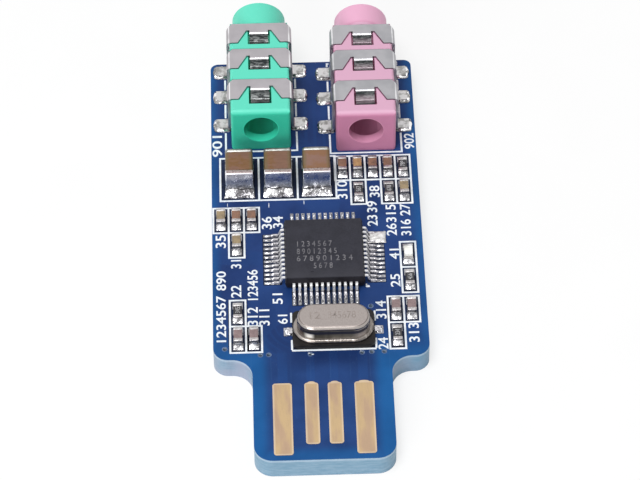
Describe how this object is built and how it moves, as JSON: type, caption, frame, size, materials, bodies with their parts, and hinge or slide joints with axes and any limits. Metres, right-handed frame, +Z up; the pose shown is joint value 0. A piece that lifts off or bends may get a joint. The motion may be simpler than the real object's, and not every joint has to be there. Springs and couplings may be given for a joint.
{
  "type": "usb sound card",
  "caption": "Bare circuit board sound card with a USB tongue, a sound chip and two 3.5 mm audio jacks.",
  "frame": {"origin": "underside of the board, below the middle of the whole card's length and width", "axes": "+Y from the USB tongue to the jacks' mouths, +Z up out of the component side, +X to the right when the tongue points at the viewer"},
  "size_m": [0.0186, 0.0494, 0.0071],
  "materials": {
    "board": "glossy blue solder mask over glass laminate, pale cut edges",
    "gold_contact": "thin matt gold plating",
    "chip_moulding": "fine matt moulded epoxy",
    "tinned_lead": "bright tin plating",
    "pad": "tinned copper",
    "crystal_can": "satin nickel plated can",
    "crystal_base": "matt black plastic",
    "end_metal": "tin plated ends",
    "large_ceramic": "fired brown ceramic",
    "small_ceramic": "fired brown ceramic",
    "resistor_body": "black glaze over white ceramic",
    "led_base": "white laminate",
    "led_lens": "clear moulded resin over pale phosphor",
    "green_plastic": "moulded mint green plastic",
    "pink_plastic": "moulded pink plastic",
    "contact_sheet": "satin tinned spring sheet",
    "solder": "bright reflowed solder",
    "white_print": "matt white print"
  },
  "bodies": {
    "root": {"circuit_board": "board", "usb_contact_1": "gold_contact", "usb_contact_2": "gold_contact", "usb_contact_3": "gold_contact", "usb_contact_4": "gold_contact", "chip_body": "chip_moulding", "chip_leads": "tinned_lead", "chip_pads": "pad", "crystal_can": "crystal_can", "crystal_base": "crystal_base", "crystal_leads": "tinned_lead", "large_capacitor_1": "large_ceramic", "large_capacitor_2": "large_ceramic", "large_capacitor_3": "large_ceramic", "large_capacitor_ends": "end_metal", "capacitor_1": "small_ceramic", "capacitor_2": "small_ceramic", "capacitor_3": "small_ceramic", "capacitor_4": "small_ceramic", "capacitor_5": "small_ceramic", "capacitor_6": "small_ceramic", "capacitor_7": "small_ceramic", "capacitor_8": "small_ceramic", "capacitor_9": "small_ceramic", "capacitor_10": "small_ceramic", "capacitor_11": "small_ceramic", "capacitor_12": "small_ceramic", "capacitor_13": "small_ceramic", "capacitor_ends": "end_metal", "resistor_1": "resistor_body", "resistor_2": "resistor_body", "resistor_3": "resistor_body", "resistor_4": "resistor_body", "resistor_5": "resistor_body", "resistor_6": "resistor_body", "resistor_ends": "end_metal", "led_base": "led_base", "led_lens": "led_lens", "led_ends": "end_metal", "speaker_jack_housing": "green_plastic", "speaker_jack_tip_contact": "contact_sheet", "speaker_jack_ring_contact": "contact_sheet", "speaker_jack_sleeve_contact": "contact_sheet", "microphone_jack_housing": "pink_plastic", "microphone_jack_tip_contact": "contact_sheet", "microphone_jack_ring_contact": "contact_sheet", "microphone_jack_sleeve_contact": "contact_sheet", "part_pads": "pad", "part_solder": "solder", "jack_pads": "pad", "jack_solder": "solder", "print_lines": "white_print"}
  },
  "joints": []
}
